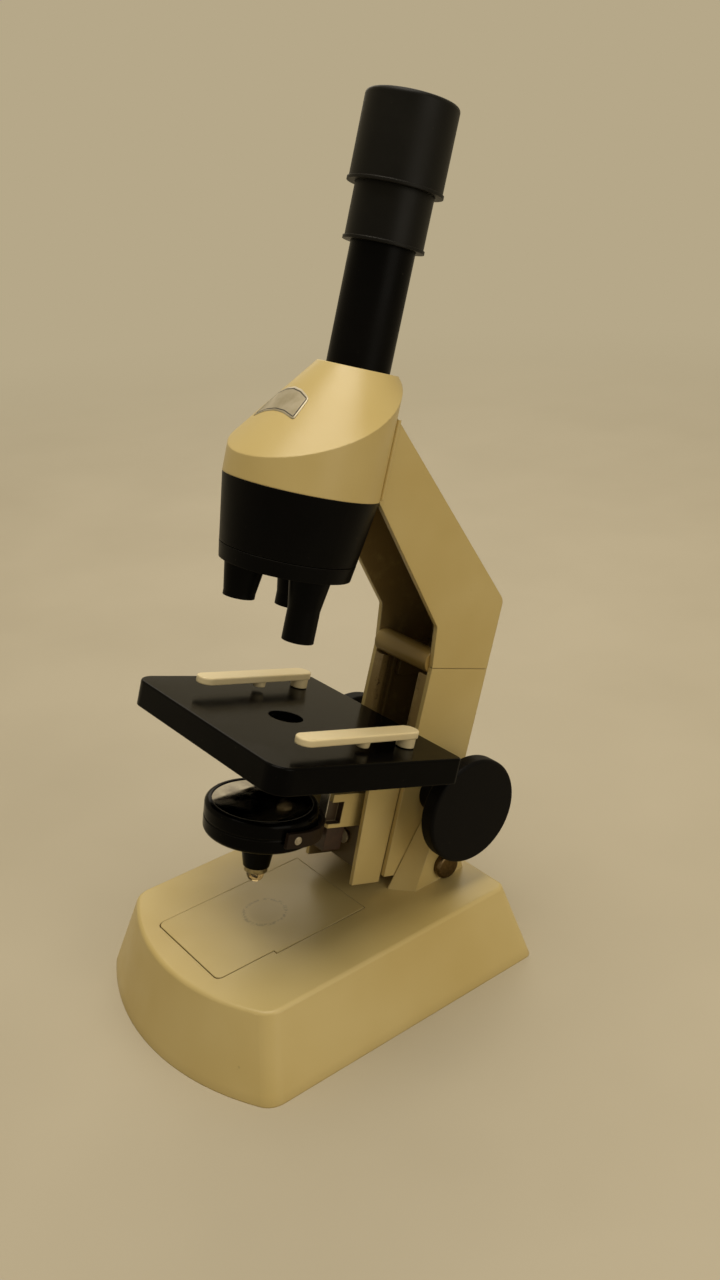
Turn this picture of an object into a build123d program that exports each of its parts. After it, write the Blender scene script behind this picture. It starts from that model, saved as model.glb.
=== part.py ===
from build123d import *
import os
from math import acos, cos, pi, radians, sin, sqrt, tan

# Student microscope with an inclined arm, a rack and pinion stage and a swinging lamp and mirror unit.
# Origin: on the table, below the middle of the whole microscope's outer box.
# +X is the user's right, +Y points away from the user and +Z is up. Sizes are in millimetres.
# Inclined pieces are drawn in the optical frame: x to the right, y backwards from the optical axis
# and n along that axis, from n = 0 on the top of the stage at rest. Every piece is drawn with the
# inclination pivot at y = 0, and moves back by pivot_from_origin when it is finished.

# Inclination and pivot
tilt = 18.9
pivot_height = 34.9
pivot_from_origin = 39.1
pivot_back = 69.3
pivot_down = 51.3
pivot_bolt_radius = 2.5
pivot_head_radius = 5.2
pivot_head_height = 2.8
pivot_nut_radius = 4.6
running_gap = 0.05
body_gap = 0.3

# Base
base_height = 29.2
base_half_width = 53.8
base_front = -117.3
base_rear = 19.0
base_nose_radius = 98.0
base_corner = 8.0
deck_half_width = 44.6
deck_front = -107.0
deck_rear = 13.3
deck_nose_radius = 78.0
base_wall = 2.5
deck_edge_radius = 1.6

# Cheeks that hold the pivot
cheek_thickness = 8.4
cheek_top = 52.5
cheek_foot_front = -22.2
cheek_foot_rear = 11.0
cheek_outer_foot_front = -15.0
cheek_shoulder_front = -2.6
cheek_shoulder_rear = 6.0
cheek_round = 4.0

# Battery box and its cover
cover_centre = -2.2
cover_front = -96.9
cover_step = -73.6
cover_rear = -34.7
cover_width = 42.4
cover_step_width = 1.8
cover_thickness = 2.0
cover_gap = 0.45
cover_tight_gap = 0.1
cover_corner = 2.4
box_wall = 1.6
box_ledge = 1.6
box_floor = 6.0
cell_radius = 7.25
spring_turns = 5
contact_button = 1.6
contact_button_radius = 2.5
spring_pitch = 1.4
spring_radius = 4.6
spring_taper = 0.45

# Arm
arm_half_width = 16.4
arm_wall = 2.0
arm_front = 48.3
arm_rear = 76.5
seam_height = 23.3
seam_gap = 0.2
lip_inner = 10.2
lip_thickness = 3.0
lip_top = 19.9
elbow_front = (46.2, 38.6)
elbow_rear = (76.5, 50.1)
limb_front_at_axis = 87.5
limb_rear_at_axis = 113.8
elbow_round = 4.0
lap_length = 12.0
lap_wall = 1.8
elbow_hollow = 12.0
seam_bead = 0.8
seam_bead_bottom = 81.0
seam_bead_top = 107.5
lap_start = 60.0
spacer_radius = 4.4
spacer_place = (50.6, 25.0)
guide_depth = 2.0
guide_thickness = 1.5
small_screw_radius = 1.25
small_screw_head = 2.6
lap_screw_spacing = 14.0
head_screw_spacing = 14.0
head_screw_height = 90.0

# Head, nose housing and turret
turret_offset = -13.3
head_radius = 26.1
head_bottom = 80.4
head_top = 120.8
head_top_radius = 13.5
head_cone_slope = 1.27
head_wall = 2.2
nose_seam = 58.3
nose_seam_radius = 23.0
nose_wall = 2.0
turret_bottom = 52.8
turret_bottom_radius = 22.2
turret_angle = 3.7
turret_screw_radius = 2.0
turret_screw_head = 4.5
nose_spigot = 3.5
nose_boss = 9.7
light_hole_radius = 5.5
detent_radius = 18.0
detent_ball_radius = 1.5
detent_depth = 0.5
detent_spring_thickness = 0.4
detent_spring_width = 4.0

# Objectives, by length below the turret
low_length = 12.1
mid_length = 14.8
high_length = 21.3
objective_shoulder = 7.0
objective_tip = 5.4
objective_cone = 10.5
objective_bore = 3.2
objective_spigot = 5.0
objective_spigot_height = 4.0

# Tube, zoom sleeve and eyepiece cap
tube_radius = 10.65
tube_wall = 1.4
tube_bottom = 112.0
tube_top = 186.0
sleeve_radius = 12.9
sleeve_bottom = 159.4
sleeve_top = 198.0
cap_radius = 15.2
cap_bottom = 177.0
cap_end_height = 6.5
cap_end_wall = 3.0
eye_hole_radius = 5.5
slide_fit = 0.08
lens_thickness = 2.4
field_lens_radius = 10.0
eye_lens_radius = 7.0
cap_edge_round = 1.6
lip_bead = 0.5

# Stage
stage_half_width = 45.0
stage_front = -35.1
stage_rear = 44.5
stage_thickness = 9.2
stage_plate = 3.0
stage_wall = 2.5
stage_corner = 7.0
aperture_radius = 6.2
clip_pivot = (31.5, 28.5)
clip_length = 54.0
clip_width = 7.5
clip_thickness = 2.5
clip_height = 4.0
clip_post_radius = 3.2
clip_pin_radius = 1.5
clip_bump_radius = 2.2
near_clip_turn = 4.0
far_clip_turn = 7.4
clip_bump_bottom = 1.4
clip_bump_reach = 20.7
clip_round = 0.6
stage_edge_round = 0.8
stage_boss_radius = 3.6
stage_screw_places = [(-8.0, 38.8), (8.0, 38.8)]

# Stage bracket, slide, rack and focus drive
bracket_half_width = 14.5
bracket_wall = 1.8
bracket_front_top = 32.2
bracket_front_bottom = 35.0
bracket_bottom = -61.4
bracket_floor = 2.4
bracket_open_reach = 9.0
slide_top = -7.0
slide_bottom = -59.0
slide_thickness = 4.4
gear_module = 1.0
pinion_teeth = 12
gear_width = 8.0
gear_backlash = 0.16
rack_addendum = 0.75
rack_dedendum = 1.05
pinion_addendum = 0.9
pinion_dedendum = 1.0
pressure_angle = 20.0
rack_base = 2.0
shaft_radius = 2.5
shaft_height = -24.2
knob_radius = 20.0
knob_outer_face = 38.0
knob_thickness = 6.4
knob_hub_radius = 8.0
knob_hub_start = 17.2
knob_bore_end = 35.5
bearing_radius = 5.4
bearing_boss = 4.4
bracket_screw_places = [(-6.5, -18.0), (6.5, -18.0), (-6.5, -52.0), (6.5, -52.0)]
knob_round = 1.2
pinion_waist = 0.86
washer_radius = 6.0
washer_thickness = 0.5

# Lamp and mirror unit
lamp_pivot = (-1.9, -36.6)
drum_lean = 6.9
drum_radius = 20.3
drum_height = 11.8
drum_round = 2.0
mirror_radius = 17.8
mirror_thickness = 2.0
drum_pin_radius = 1.5
yoke_inner = 21.0
yoke_thickness = 1.6
yoke_height = 5.5
yoke_reach = 4.5
lamp_boss_radius = 6.6
lamp_boss_tip_radius = 4.8
lamp_boss_height = 13.5
lamp_boss_shoulder = 3.0
drum_groove_radius = 0.5
collar_radius = 4.2
collar_height = 2.0
bulb_radius = 3.2
bulb_length = 4.6
lamp_block_half_width = 9.0
lamp_block_top = -27.0
lamp_block_bottom = -40.0
insulator_bottom = -50.0
contact_thickness = 0.4
drum_pin_start = 14.0
lamp_block_front = 22.0
pocket = (21.0, 27.5, -38.5, -30.0)
pocket_depth = 3.0
tongue_left = -7.0
tongue_right = 1.5
tongue_end = 29.0
tongue_height = 4.0
lamp_screw_place = (-5.0, -30.5)
insulator_half_width = 8.0
insulator_front = 23.0
insulator_rear = 31.0
strip_left = 2.4
strip_right = 7.0
strip_top = -27.0
strip_bottom = -44.0

# Values that follow from the ones above
lean = radians(tilt)
origin_y = -pivot_back * cos(lean) + pivot_down * sin(lean)
origin_z = pivot_height + pivot_back * sin(lean) + pivot_down * cos(lean)
optics = Plane(origin=(0, origin_y, origin_z), x_dir=(1, 0, 0), z_dir=(0, sin(lean), cos(lean)))
arm_bottom = -pivot_down - (arm_rear - pivot_back)
arm_inner = arm_half_width - arm_wall
cheek_inner = arm_half_width + body_gap
turret_centre = (0, turret_offset)
pinion_pitch = gear_module * pinion_teeth / 2
slide_front = arm_front + lip_thickness + body_gap
slide_rear = slide_front + slide_thickness
rack_pitch_line = slide_rear + rack_base - 0.2
shaft_place = (rack_pitch_line + pinion_pitch, shaft_height)
turret_top = nose_seam - body_gap
pieces = {}


def at(x, y, n):
    """A point of the optical frame, in the part's own frame."""
    return optics.from_local_coords(Vector(x, y, n))


def level(n):
    """A sketch plane across the optical axis at height n."""
    return optics.offset(n)


def side(x):
    """A sketch plane parallel to the symmetry plane, with y and n as its axes."""
    return Plane(origin=at(x, 0, 0), x_dir=optics.y_dir, z_dir=(1, 0, 0))


def facing(y):
    """A sketch plane that faces the user, with x and n as its axes."""
    return Plane(origin=at(0, y, 0), x_dir=(1, 0, 0), z_dir=-optics.y_dir)


def axis_at(x, y):
    """An axis parallel to the optical axis."""
    return Axis(origin=at(x, y, 0), direction=optics.z_dir)


def cross_axis(y, n):
    """An axis from left to right."""
    return Axis(origin=at(0, y, n), direction=(1, 0, 0))


def keep(piece, name):
    """Moves a finished piece to its place from the origin, labels it and lists it for export."""
    finished = piece.part.moved(Location((0, pivot_from_origin, 0)))
    finished.label = name
    pieces[name] = finished


def turned(profile, x, y):
    """Turns a closed profile of (radius, n) points about an axis parallel to the optical axis."""
    with BuildPart() as body:
        with BuildSketch(facing(y)) as outline:
            with Locations((x, 0)):
                Polygon(*profile, align=None)
        revolve(axis=axis_at(x, y))
    return body


# Base shell, with its cheeks and battery box
def base_outline(half_width, front, rear, nose_radius, corner):
    """The base's outline in plan: square at the rear, a long arc at the front."""
    sagitta = nose_radius - sqrt(nose_radius**2 - half_width**2)
    with BuildSketch(mode=Mode.PRIVATE) as outline:
        with BuildLine():
            Line((half_width, rear), (half_width, front + sagitta))
            ThreePointArc((half_width, front + sagitta), (0, front), (-half_width, front + sagitta))
            Line((-half_width, front + sagitta), (-half_width, rear))
            Line((-half_width, rear), (half_width, rear))
        make_face()
        fillet(outline.vertices().group_by(Axis.Y)[0], corner)
        fillet(outline.vertices().group_by(Axis.Y)[-1], corner / 2)
    return outline.sketch


def base_form(inset, top):
    """The sloping body of the base, drawn in by the inset on every side but the bottom."""
    with BuildPart() as form:
        with BuildSketch(Plane.XY):
            add(base_outline(base_half_width - inset, base_front + inset, base_rear - inset,
                             base_nose_radius - inset, base_corner - inset / 2))
        with BuildSketch(Plane.XY.offset(top)):
            add(base_outline(deck_half_width - inset, deck_front + inset, deck_rear - inset,
                             deck_nose_radius - inset, base_corner - inset / 2))
        loft()
    return form


def cheek(sign):
    """One cheek, lofted from its inner face to a smaller outer face."""
    foot = base_height - base_wall / 2
    inner = [(cheek_foot_front, foot), (cheek_shoulder_front, cheek_top),
             (cheek_shoulder_rear, cheek_top), (cheek_foot_rear, foot)]
    outer = [(cheek_outer_foot_front, foot), (cheek_shoulder_front - 1.5, cheek_top - 2),
             (cheek_shoulder_rear - 1.5, cheek_top - 2), (cheek_foot_rear - 1.5, foot)]
    with BuildPart() as body:
        for offset, outline in ((0, inner), (cheek_thickness, outer)):
            with BuildSketch(Plane.YZ.offset(sign * (cheek_inner + offset))) as face:
                Polygon(*outline, align=None)
                fillet(face.vertices().group_by(Axis.Y)[-1], cheek_round)
        loft()
    return body


base_cavity = base_form(base_wall, base_height - base_wall)
cover_front_width = cover_width - cover_step_width
box_front = cover_front + box_ledge
box_rear = cover_rear - box_ledge
box_half_width = cover_front_width / 2 - box_ledge
box_depth = base_height - cover_thickness - box_floor
opening_front = -13.0
opening_rear = arm_rear - pivot_back + 1.6


def cover_outline(grow, tight):
    """The battery cover in plan, grown by one gap in front and on the right and a tight one elsewhere."""
    left = cover_centre - cover_front_width / 2 - tight
    right = cover_centre + cover_front_width / 2 + grow
    rear = cover_rear + tight
    with BuildSketch(mode=Mode.PRIVATE) as outline:
        Polygon((left, cover_front - grow), (right, cover_front - grow), (right, cover_step - grow),
                (right + cover_step_width, cover_step - grow), (right + cover_step_width, rear),
                (left, rear), align=None)
        fillet(outline.vertices().group_by(Axis.Y)[0], cover_corner)
    return outline.sketch


base_body = base_form(0, base_height)
with BuildPart() as base:
    add(base_body.part)
    fillet(base.faces().sort_by(Axis.Z)[-1].edges(), deck_edge_radius)
    add(base_cavity.part, mode=Mode.SUBTRACT)
    add(cheek(1).part)
    add(cheek(-1).part)
    # The cover's seat, then the battery box that hangs below it
    with BuildSketch(Plane.XY.offset(base_height - cover_thickness)):
        add(cover_outline(cover_gap, cover_tight_gap))
    extrude(amount=cover_thickness + 1, mode=Mode.SUBTRACT)
    with BuildSketch(Plane.XY.offset(base_height - cover_thickness)):
        add(cover_outline(box_wall, box_wall))
    extrude(amount=-box_depth)
    with BuildSketch(Plane.XY.offset(base_height - cover_thickness)):
        with Locations((cover_centre, (box_front + box_rear) / 2)):
            Rectangle(2 * box_half_width, box_rear - box_front)
    extrude(amount=-(box_depth - box_wall), mode=Mode.SUBTRACT)
    # The opening that the foot of the arm turns in
    with BuildSketch(Plane.XY.offset(base_height - base_wall - 1)):
        with Locations((0, (opening_front + opening_rear) / 2)):
            Rectangle(2 * cheek_inner, opening_rear - opening_front)
    extrude(amount=base_wall + 2, mode=Mode.SUBTRACT)
    with BuildSketch(Plane.YZ):
        with Locations((0, pivot_height)):
            Circle(pivot_bolt_radius + running_gap)
    extrude(amount=2 * arm_half_width, both=True, mode=Mode.SUBTRACT)
keep(base, "base")

with BuildPart() as battery_cover:
    with BuildSketch(Plane.XY.offset(base_height - cover_thickness)):
        add(cover_outline(0, 0))
    extrude(amount=cover_thickness)
keep(battery_cover, "battery_cover")

cell_axis = box_floor + box_wall + cell_radius
cell_places = (cover_centre - cell_radius, cover_centre + cell_radius)

with BuildPart() as battery_contact_plate:
    with Locations((cover_centre, box_front + contact_thickness / 2, cell_axis)):
        Box(2 * cell_radius + 8, contact_thickness, cell_radius)
    for x in cell_places:
        with Locations(Location((x, box_front + contact_button / 2, cell_axis), (90, 0, 0))):
            Cylinder(contact_button_radius, contact_button)
keep(battery_contact_plate, "battery_contact_plate")

with BuildPart() as battery_springs:
    spring_foot = box_rear - contact_thickness
    for x in cell_places:
        with Locations((x, box_rear - contact_thickness / 2, cell_axis)):
            Box(cell_radius + 4, contact_thickness, cell_radius + 4)
        with BuildSketch(Plane.XY.offset(cell_axis)):
            for turn in range(spring_turns):
                place = spring_foot - spring_pitch * (turn + 0.5)
                with Locations((x + spring_radius - turn * spring_taper, place)):
                    RegularPolygon(spring_pitch * 0.75, 4)
        revolve(axis=Axis(origin=(x, 0, cell_axis), direction=(0, 1, 0)))
keep(battery_springs, "battery_springs")

# Arm: the lower housing is a channel with front lips, the upper one carries the elbow
bearing_bore = shaft_radius + running_gap

with BuildPart() as arm_lower:
    with BuildSketch(side(0)) as outline:
        Polygon((arm_front, arm_bottom), (arm_rear, arm_bottom), (arm_rear, seam_height - seam_gap),
                (arm_front, seam_height - seam_gap), align=None)
        fillet(outline.vertices().sort_by_distance((arm_rear, arm_bottom))[0], arm_rear - pivot_back)
    extrude(amount=arm_half_width, both=True)
    with BuildSketch(side(0)) as hollow:
        Polygon((arm_front + lip_thickness, arm_bottom - 1), (arm_rear - arm_wall, arm_bottom - 1),
                (arm_rear - arm_wall, seam_height), (arm_front + lip_thickness, seam_height), align=None)
    extrude(amount=arm_inner, both=True, mode=Mode.SUBTRACT)
    with BuildSketch(side(0)):
        Polygon((arm_front - 1, arm_bottom - 1), (arm_front + lip_thickness, arm_bottom - 1),
                (arm_front + lip_thickness, seam_height), (arm_front - 1, seam_height), align=None)
    extrude(amount=lip_inner, both=True, mode=Mode.SUBTRACT)
    with BuildSketch(side(0)):
        Polygon((arm_front - 1, lip_top), (arm_front + lip_thickness, lip_top),
                (arm_front + lip_thickness, seam_height), (arm_front - 1, seam_height), align=None)
    extrude(amount=arm_inner, both=True, mode=Mode.SUBTRACT)
    # Guide ribs behind the slide, then bearing bosses for the focus shaft
    for sign in (-1, 1):
        guide_rear = slide_rear + body_gap + guide_thickness
        with BuildSketch(side(sign * arm_inner)):
            Polygon((slide_rear + body_gap, arm_bottom + 1), (guide_rear, arm_bottom + 1),
                    (guide_rear, lip_top), (slide_rear + body_gap, lip_top), align=None)
        extrude(amount=-sign * guide_depth)
        with BuildSketch(side(sign * arm_inner)):
            with Locations(shaft_place):
                Circle(bearing_radius)
        extrude(amount=-sign * bearing_boss)
    with BuildSketch(side(0)):
        with Locations(shaft_place):
            Circle(bearing_bore)
        with Locations((pivot_back, -pivot_down)):
            Circle(pivot_bolt_radius + running_gap)
    extrude(amount=arm_half_width + 1, both=True, mode=Mode.SUBTRACT)
    # Two holes in the rear wall take the screws that hold the upper arm
    with BuildSketch(facing(arm_rear + 1)):
        with Locations((0, seam_height - lap_length / 2)):
            with GridLocations(lap_screw_spacing, 1, 2, 1):
                Circle(small_screw_radius)
    extrude(amount=arm_wall + 2, mode=Mode.SUBTRACT)
keep(arm_lower, "arm_lower")

limb_slope_rear = (limb_rear_at_axis - elbow_rear[1]) / elbow_rear[0]
limb_wall = arm_wall * sqrt(1 + limb_slope_rear**2)
limb_inside_rear = limb_rear_at_axis - limb_wall

with BuildPart() as arm_hollow:
    with BuildSketch(side(0)) as outline:
        Polygon((0, limb_front_at_axis - elbow_hollow), (elbow_front[0], elbow_front[1] - elbow_hollow),
                (arm_front - 6, seam_height - 1), (arm_rear - arm_wall, seam_height - 1),
                (arm_rear - arm_wall, limb_inside_rear - (arm_rear - arm_wall) * limb_slope_rear),
                (0, limb_inside_rear), align=None)
    extrude(amount=arm_inner, both=True)
    with BuildSketch(level(0)):
        with Locations(turret_centre):
            Circle(head_radius + arm_wall)
    extrude(amount=head_top, mode=Mode.SUBTRACT)

with BuildPart() as arm_upper:
    with BuildSketch(side(0)) as outline:
        Polygon((0, limb_front_at_axis), elbow_front, (arm_front, seam_height), (arm_rear, seam_height),
                elbow_rear, (0, limb_rear_at_axis), align=None)
        fillet(outline.vertices().sort_by_distance(elbow_rear)[0], elbow_round)
        fillet(outline.vertices().sort_by_distance(elbow_front)[0], elbow_round / 2)
    extrude(amount=arm_half_width, both=True)
    add(arm_hollow.part, mode=Mode.SUBTRACT)
    # A bead runs down each side where the arm meets the head
    seam_place = turret_offset + sqrt(head_radius**2 - arm_half_width**2) + seam_bead
    with BuildSketch(level(seam_bead_bottom)):
        with Locations((arm_half_width, seam_place), (-arm_half_width, seam_place)):
            Circle(seam_bead)
    extrude(amount=seam_bead_top - seam_bead_bottom)
    with BuildSketch(level(0)):
        with Locations(turret_centre):
            Circle(head_radius)
    extrude(amount=head_top, mode=Mode.SUBTRACT)
    # Below the head the end web is open, so that the nose housing stands clear of it
    with BuildSketch(level(0)):
        with Locations(turret_centre):
            Circle(head_radius + arm_wall)
        with Locations((0, head_radius)):
            Rectangle(2 * arm_inner, 2 * head_radius, mode=Mode.INTERSECT)
    extrude(amount=head_bottom, mode=Mode.SUBTRACT)
    # A lap inside the rear of the lower housing, open towards the slide
    lap_half_width = arm_inner - seam_gap
    lap_rear = arm_rear - arm_wall - seam_gap
    with BuildSketch(level(seam_height - lap_length)):
        with Locations((0, (lap_start + lap_rear) / 2)):
            Rectangle(2 * lap_half_width, lap_rear - lap_start)
        with Locations((0, (lap_start + lap_rear) / 2 - lap_wall)):
            Rectangle(2 * (lap_half_width - lap_wall), lap_rear - lap_start, mode=Mode.SUBTRACT)
    extrude(amount=lap_length)
    with BuildSketch(level(seam_height)):
        with Locations((0, (lap_start + lap_rear) / 2)):
            Rectangle(2 * arm_inner, lap_rear - lap_start + 2 * seam_gap)
        with Locations((0, (lap_start + lap_rear) / 2 - lap_wall)):
            Rectangle(2 * (lap_half_width - lap_wall), lap_rear - lap_start + seam_gap, mode=Mode.SUBTRACT)
    extrude(amount=lap_wall)
    with BuildSketch(facing(arm_rear)):
        with Locations((0, seam_height - lap_length / 2)):
            with GridLocations(lap_screw_spacing, 1, 2, 1):
                Circle(small_screw_radius)
    extrude(amount=2 * arm_wall + lap_wall, mode=Mode.SUBTRACT)
    # Two holes in the end web take the screws that hold the head
    with BuildSketch(facing(turret_offset + head_radius + arm_wall + 1)):
        with Locations((0, head_screw_height)):
            with GridLocations(head_screw_spacing, 1, 2, 1):
                Circle(small_screw_radius)
    extrude(amount=8, mode=Mode.SUBTRACT)
keep(arm_upper, "arm_upper")

with BuildPart() as arm_spacer:
    with BuildSketch(side(0)):
        with Locations(spacer_place):
            Circle(spacer_radius)
            Circle(spacer_radius - arm_wall, mode=Mode.SUBTRACT)
    extrude(amount=arm_inner, both=True)
keep(arm_spacer, "arm_spacer")


def cross_screw(places, head_plane, inwards, length):
    """A group of small round-headed screws whose heads lie on one plane."""
    with BuildPart() as screws:
        with BuildSketch(head_plane):
            with Locations(*places):
                Circle(small_screw_head)
        extrude(amount=-inwards * small_screw_head / 2)
        with BuildSketch(head_plane):
            with Locations(*places):
                Circle(small_screw_radius)
        extrude(amount=inwards * length)
    return screws


lap_places = [(-lap_screw_spacing / 2, seam_height - lap_length / 2),
              (lap_screw_spacing / 2, seam_height - lap_length / 2)]
arm_screws = cross_screw(lap_places, facing(arm_rear), 1, arm_wall + seam_gap + lap_wall)
keep(arm_screws, "arm_screws")

# Head: a cone on the optical axis, cut by an upright cylinder on the turret's axis
def head_form(inset):
    """The head's solid form, drawn in by the inset at the side and on the cone."""
    radius = head_radius - inset
    top = head_top - inset
    top_radius = head_top_radius - inset * (sqrt(1 + head_cone_slope**2) - 1) / head_cone_slope
    reach = 2 * head_radius
    with BuildPart() as form:
        with BuildSketch(level(head_bottom - (1 if inset else 0))):
            with Locations(turret_centre):
                Circle(radius)
        extrude(amount=head_top - head_bottom + 1)
        with BuildSketch(facing(0)):
            Polygon((0, 0), (reach, 0), (reach, top - (reach - top_radius) * head_cone_slope),
                    (top_radius, top), (0, top), align=None)
        revolve(axis=axis_at(0, 0), mode=Mode.INTERSECT)
    return form


with BuildPart() as head:
    add(head_form(0).part)
    add(head_form(head_wall).part, mode=Mode.SUBTRACT)
    with BuildSketch(level(head_top + 1)):
        Circle(tube_radius)
    extrude(amount=tube_bottom - head_top - 1, mode=Mode.SUBTRACT)
    with BuildSketch(facing(turret_offset + head_radius + 1)):
        with Locations((0, head_screw_height)):
            with GridLocations(head_screw_spacing, 1, 2, 1):
                Circle(small_screw_radius)
    extrude(amount=8, mode=Mode.SUBTRACT)
keep(head, "head")

head_screw_reach = head_screw_spacing / 2 + small_screw_head
head_screw_seat = turret_offset + sqrt((head_radius - head_wall)**2 - head_screw_reach**2)
head_places = [(-head_screw_spacing / 2, head_screw_height), (head_screw_spacing / 2, head_screw_height)]
head_screws = cross_screw(head_places, facing(head_screw_seat), -1, head_wall + arm_wall + 1.4)
keep(head_screws, "head_screws")

# Nose housing, turret and its screw
detent_ball_centre = turret_top + 0.1 + detent_ball_radius
detent_spring_seat = detent_ball_centre + detent_ball_radius

with BuildPart() as nose_housing:
    for height, radius in ((nose_seam, nose_seam_radius), (head_bottom, head_radius)):
        with BuildSketch(level(height)):
            with Locations(turret_centre):
                Circle(radius)
    loft()
    with BuildSketch(level(nose_seam + nose_wall)):
        with Locations(turret_centre):
            Circle(nose_seam_radius - nose_wall)
    with BuildSketch(level(head_bottom + 1)):
        with Locations(turret_centre):
            Circle(head_radius - nose_wall)
    loft(mode=Mode.SUBTRACT)
    # A spigot ring centres the housing in the head
    with BuildSketch(level(head_bottom - 3)):
        with Locations(turret_centre):
            Circle(head_radius - head_wall - seam_gap)
            Circle(head_radius - head_wall - seam_gap - 1.6, mode=Mode.SUBTRACT)
    extrude(amount=3 + nose_spigot)
    with BuildSketch(level(nose_seam)):
        with Locations(turret_centre):
            Circle(turret_screw_head)
    extrude(amount=nose_boss)
    # A pad for the detent spring
    with BuildSketch(level(nose_seam + nose_wall / 2)):
        with Locations((-detent_radius / 2, turret_offset)):
            Circle(detent_spring_width / 2)
    extrude(amount=detent_spring_seat - nose_seam - nose_wall / 2)
    with BuildSketch(level(nose_seam)):
        with Locations(turret_centre):
            Circle(turret_screw_radius)
        Circle(light_hole_radius)
        with Locations((-detent_radius, turret_offset)):
            Circle(detent_ball_radius + running_gap)
    extrude(amount=nose_boss + 1, mode=Mode.SUBTRACT)
keep(nose_housing, "nose_housing")


def pitch_place(angle):
    """Where the turret carries an objective, at an angle from the right."""
    return (-turret_offset * cos(radians(angle)), turret_offset - turret_offset * sin(radians(angle)))


seats = {
    "high": (pitch_place(turret_angle), high_length),
    "mid": (pitch_place(turret_angle + 120), mid_length),
    "low": (pitch_place(turret_angle + 240), low_length),
}

with BuildPart() as turret:
    for height, radius in ((turret_bottom, turret_bottom_radius), (turret_top, nose_seam_radius)):
        with BuildSketch(level(height)):
            with Locations(turret_centre):
                Circle(radius)
    loft()
    with BuildSketch(level(turret_bottom)):
        with Locations(*[place for place, length in seats.values()]):
            Circle(objective_spigot)
        with Locations(turret_centre):
            Circle(turret_screw_radius + running_gap)
    extrude(amount=turret_top - turret_bottom, mode=Mode.SUBTRACT)
    # A dimple for each objective, in line with the detent ball when that objective is on the axis
    for turn in (90, 210, 330):
        angle = radians(turret_angle + turn)
        x, y = detent_radius * cos(angle), turret_offset + detent_radius * sin(angle)
        with Locations(at(x, y, turret_top + detent_ball_radius - detent_depth)):
            Sphere(detent_ball_radius, mode=Mode.SUBTRACT)
keep(turret, "turret")

screw_seat = turret_bottom - body_gap
turret_screw = turned([(0, screw_seat - 2), (turret_screw_head, screw_seat - 2),
                       (turret_screw_head, screw_seat), (turret_screw_radius, screw_seat),
                       (turret_screw_radius, nose_seam + nose_boss), (0, nose_seam + nose_boss)],
                      *turret_centre)
keep(turret_screw, "turret_screw")


with BuildPart() as detent_ball:
    with Locations(at(-detent_radius, turret_offset, detent_ball_centre)):
        Sphere(detent_ball_radius)
keep(detent_ball, "detent_ball")

with BuildPart() as detent_spring:
    with BuildSketch(level(detent_spring_seat)):
        with Locations((-0.72 * detent_radius, turret_offset)):
            SlotOverall(0.72 * detent_radius, detent_spring_width)
    extrude(amount=detent_spring_thickness)
keep(detent_spring, "detent_spring")


def objective(place, length):
    """An objective barrel: a coned shoulder below the turret and a spigot up into it."""
    tip = turret_bottom - length
    waist = turret_bottom - min(objective_cone, length - 1.5)
    return turned([(objective_bore, tip), (objective_tip, tip), (objective_tip, waist),
                   (objective_shoulder, turret_bottom), (objective_spigot, turret_bottom),
                   (objective_spigot, turret_bottom + objective_spigot_height),
                   (objective_bore, turret_bottom + objective_spigot_height)], *place)


def lens(radius, bottom, thickness, x, y):
    """A glass disc whose underside is domed in three steps."""
    top = bottom + thickness
    return turned([(0, bottom), (radius * 0.4, bottom + thickness * 0.05),
                   (radius * 0.75, bottom + thickness * 0.18), (radius, bottom + thickness * 0.34),
                   (radius, top), (0, top)], x, y)


for name, (place, length) in seats.items():
    keep(objective(place, length), f"objective_{name}")
    keep(lens(objective_bore, turret_bottom - length + 0.6, lens_thickness, *place), f"lens_{name}")

# Tube, zoom sleeve and eyepiece cap
body_tube = turned([(tube_radius - tube_wall, tube_bottom), (tube_radius, tube_bottom),
                    (tube_radius, tube_top), (tube_radius - tube_wall, tube_top)], 0, 0)
keep(body_tube, "body_tube")

sleeve_bore = tube_radius + slide_fit
lens_seat = sleeve_top - 1.2 - lens_thickness
zoom_sleeve = turned([(sleeve_bore, sleeve_bottom), (sleeve_radius + lip_bead, sleeve_bottom),
                      (sleeve_radius + lip_bead, sleeve_bottom + 1), (sleeve_radius, sleeve_bottom + 1),
                      (sleeve_radius, sleeve_top), (field_lens_radius, sleeve_top),
                      (field_lens_radius, lens_seat), (field_lens_radius - 1.2, lens_seat),
                      (field_lens_radius - 1.2, lens_seat - 1.2), (sleeve_bore, lens_seat - 1.2)], 0, 0)
keep(zoom_sleeve, "zoom_sleeve")
keep(lens(field_lens_radius, lens_seat, lens_thickness, 0, 0), "field_lens")

cap_bore = sleeve_radius + slide_fit
cap_top = sleeve_top + cap_end_height
cap_inside = cap_top - cap_end_wall
with BuildPart() as eyepiece_cap:
    with BuildSketch(facing(0)) as outline:
        Polygon((cap_bore, cap_bottom), (cap_radius + lip_bead, cap_bottom),
                (cap_radius + lip_bead, cap_bottom + 1), (cap_radius, cap_bottom + 1), (cap_radius, cap_top),
                (eye_hole_radius + 2, cap_top), (eye_hole_radius, cap_inside), (cap_bore, cap_inside),
                align=None)
        fillet(outline.vertices().sort_by_distance((cap_radius, cap_top))[0], cap_edge_round)
    revolve(axis=axis_at(0, 0))
keep(eyepiece_cap, "eyepiece_cap")
keep(lens(eye_lens_radius, cap_inside - lens_thickness, lens_thickness, 0, 0), "eye_lens")
ring_bottom = cap_inside - lens_thickness
eye_lens_ring = turned([(eye_lens_radius, ring_bottom), (cap_bore, ring_bottom), (cap_bore, cap_inside),
                        (eye_lens_radius, cap_inside)], 0, 0)
keep(eye_lens_ring, "eye_lens_ring")

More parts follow.
